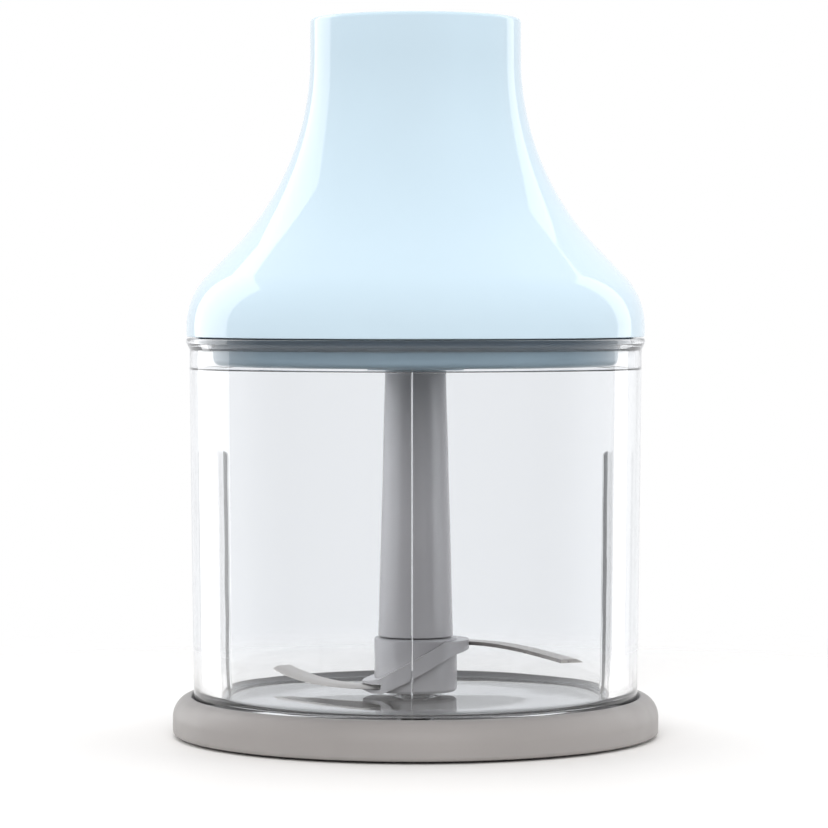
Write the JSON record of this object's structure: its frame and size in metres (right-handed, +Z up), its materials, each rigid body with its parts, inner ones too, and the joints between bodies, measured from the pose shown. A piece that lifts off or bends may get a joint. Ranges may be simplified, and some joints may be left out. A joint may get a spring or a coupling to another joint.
{
  "type": "food processor bowl attachment",
  "caption": "Chopper attachment for a hand blender: bell-shaped geared lid with a socket neck, clear bowl, S-shaped blade unit on a centre pin, and a soft round base.",
  "frame": {"origin": "centre of the face that the base stands on", "axes": "+Z up along the blade's axis, towards the neck; +X towards one of the bowl's inner ribs; +Y towards the lid's locking key"},
  "size_m": [0.12, 0.12, 0.1766],
  "materials": {
    "lid_abs": "pastel blue, high gloss moulded ABS",
    "plug_abs": "blue-grey satin moulded ABS",
    "clear_copolyester": "clear polished moulding",
    "soft_base": "warm grey soft-touch elastomer",
    "foot_rubber": "matt grey non-slip rubber",
    "stem_abs": "mid grey satin moulded ABS",
    "blade_steel": "ground stainless strip",
    "turned_steel": "turned stainless bar",
    "screw_steel": "zinc plated",
    "silicone": "blue-grey silicone",
    "housing_abs": "mid grey, lightly textured",
    "coupling_nylon": "glass filled nylon",
    "acetal": "natural acetal",
    "bronze": "sintered bronze"
  },
  "bodies": {
    "base": {"base_tray": "soft_base", "foot_ring": "foot_rubber"},
    "bowl": {"bowl": "clear_copolyester", "pivot_pin": "turned_steel"},
    "pivot": {"pivot_sleeve": "coupling_nylon"},
    "blade": {"blade_stem": "stem_abs", "blade_hub": "stem_abs", "blade_strip": "blade_steel"},
    "lid": {"lid_shell": "lid_abs", "neck_sleeve": "housing_abs", "gearbox_cover": "plug_abs", "lid_seal": "silicone", "shaft_seal": "silicone", "output_bush": "bronze", "gear_housing": "housing_abs", "ring_gear": "acetal", "input_bush_lower": "bronze", "input_bush_upper": "bronze", "housing_screw_1": "screw_steel", "housing_screw_2": "screw_steel", "housing_screw_3": "screw_steel"},
    "input": {"input_shaft": "turned_steel", "sun_gear": "acetal", "drive_coupling": "coupling_nylon"},
    "carrier": {"planet_carrier": "acetal", "planet_pin_1": "turned_steel", "planet_pin_2": "turned_steel", "planet_pin_3": "turned_steel"},
    "planet_1": {"planet_gear_1": "acetal"},
    "planet_2": {"planet_gear_2": "acetal"},
    "planet_3": {"planet_gear_3": "acetal"}
  },
  "joints": [
    {"name": "bowl_lift", "type": "slide", "parent": "base", "child": "bowl", "axis": [0, 0, 1], "range_m": [0, 0.06]},
    {"name": "lid_lift", "type": "slide", "parent": "bowl", "child": "lid", "axis": [0, 0, 1], "range_m": [0, 0.2]},
    {"name": "blade_lift", "type": "slide", "parent": "bowl", "child": "pivot", "axis": [0, 0, 1], "range_m": [0, 0.1]},
    {"name": "blade_spin", "type": "hinge", "parent": "pivot", "child": "blade", "pos_m": [0, 0, 0.03], "axis": [0, 0, 1], "continuous": true},
    {"name": "carrier_spin", "type": "hinge", "parent": "lid", "child": "carrier", "pos_m": [0, 0, 0.095], "axis": [0, 0, 1], "continuous": true},
    {"name": "input_spin", "type": "hinge", "parent": "lid", "child": "input", "pos_m": [0, 0, 0.13], "axis": [0, 0, 1], "continuous": true},
    {"name": "planet_1_spin", "type": "hinge", "parent": "carrier", "child": "planet_1", "pos_m": [0.01875, 0, 0.1039], "axis": [0, 0, 1], "continuous": true},
    {"name": "planet_2_spin", "type": "hinge", "parent": "carrier", "child": "planet_2", "pos_m": [-0.00937, 0.01624, 0.1039], "axis": [0, 0, 1], "continuous": true},
    {"name": "planet_3_spin", "type": "hinge", "parent": "carrier", "child": "planet_3", "pos_m": [-0.00937, -0.01624, 0.1039], "axis": [0, 0, 1], "continuous": true}
  ],
  "couplings": [
    {"joint": "blade_lift", "follows": "lid_lift", "ratio": 0.5},
    {"joint": "carrier_spin", "follows": "input_spin", "ratio": 0.2},
    {"joint": "blade_spin", "follows": "input_spin", "ratio": 0.2},
    {"joint": "planet_1_spin", "follows": "input_spin", "ratio": -0.53333},
    {"joint": "planet_2_spin", "follows": "input_spin", "ratio": -0.53333},
    {"joint": "planet_3_spin", "follows": "input_spin", "ratio": -0.53333}
  ]
}
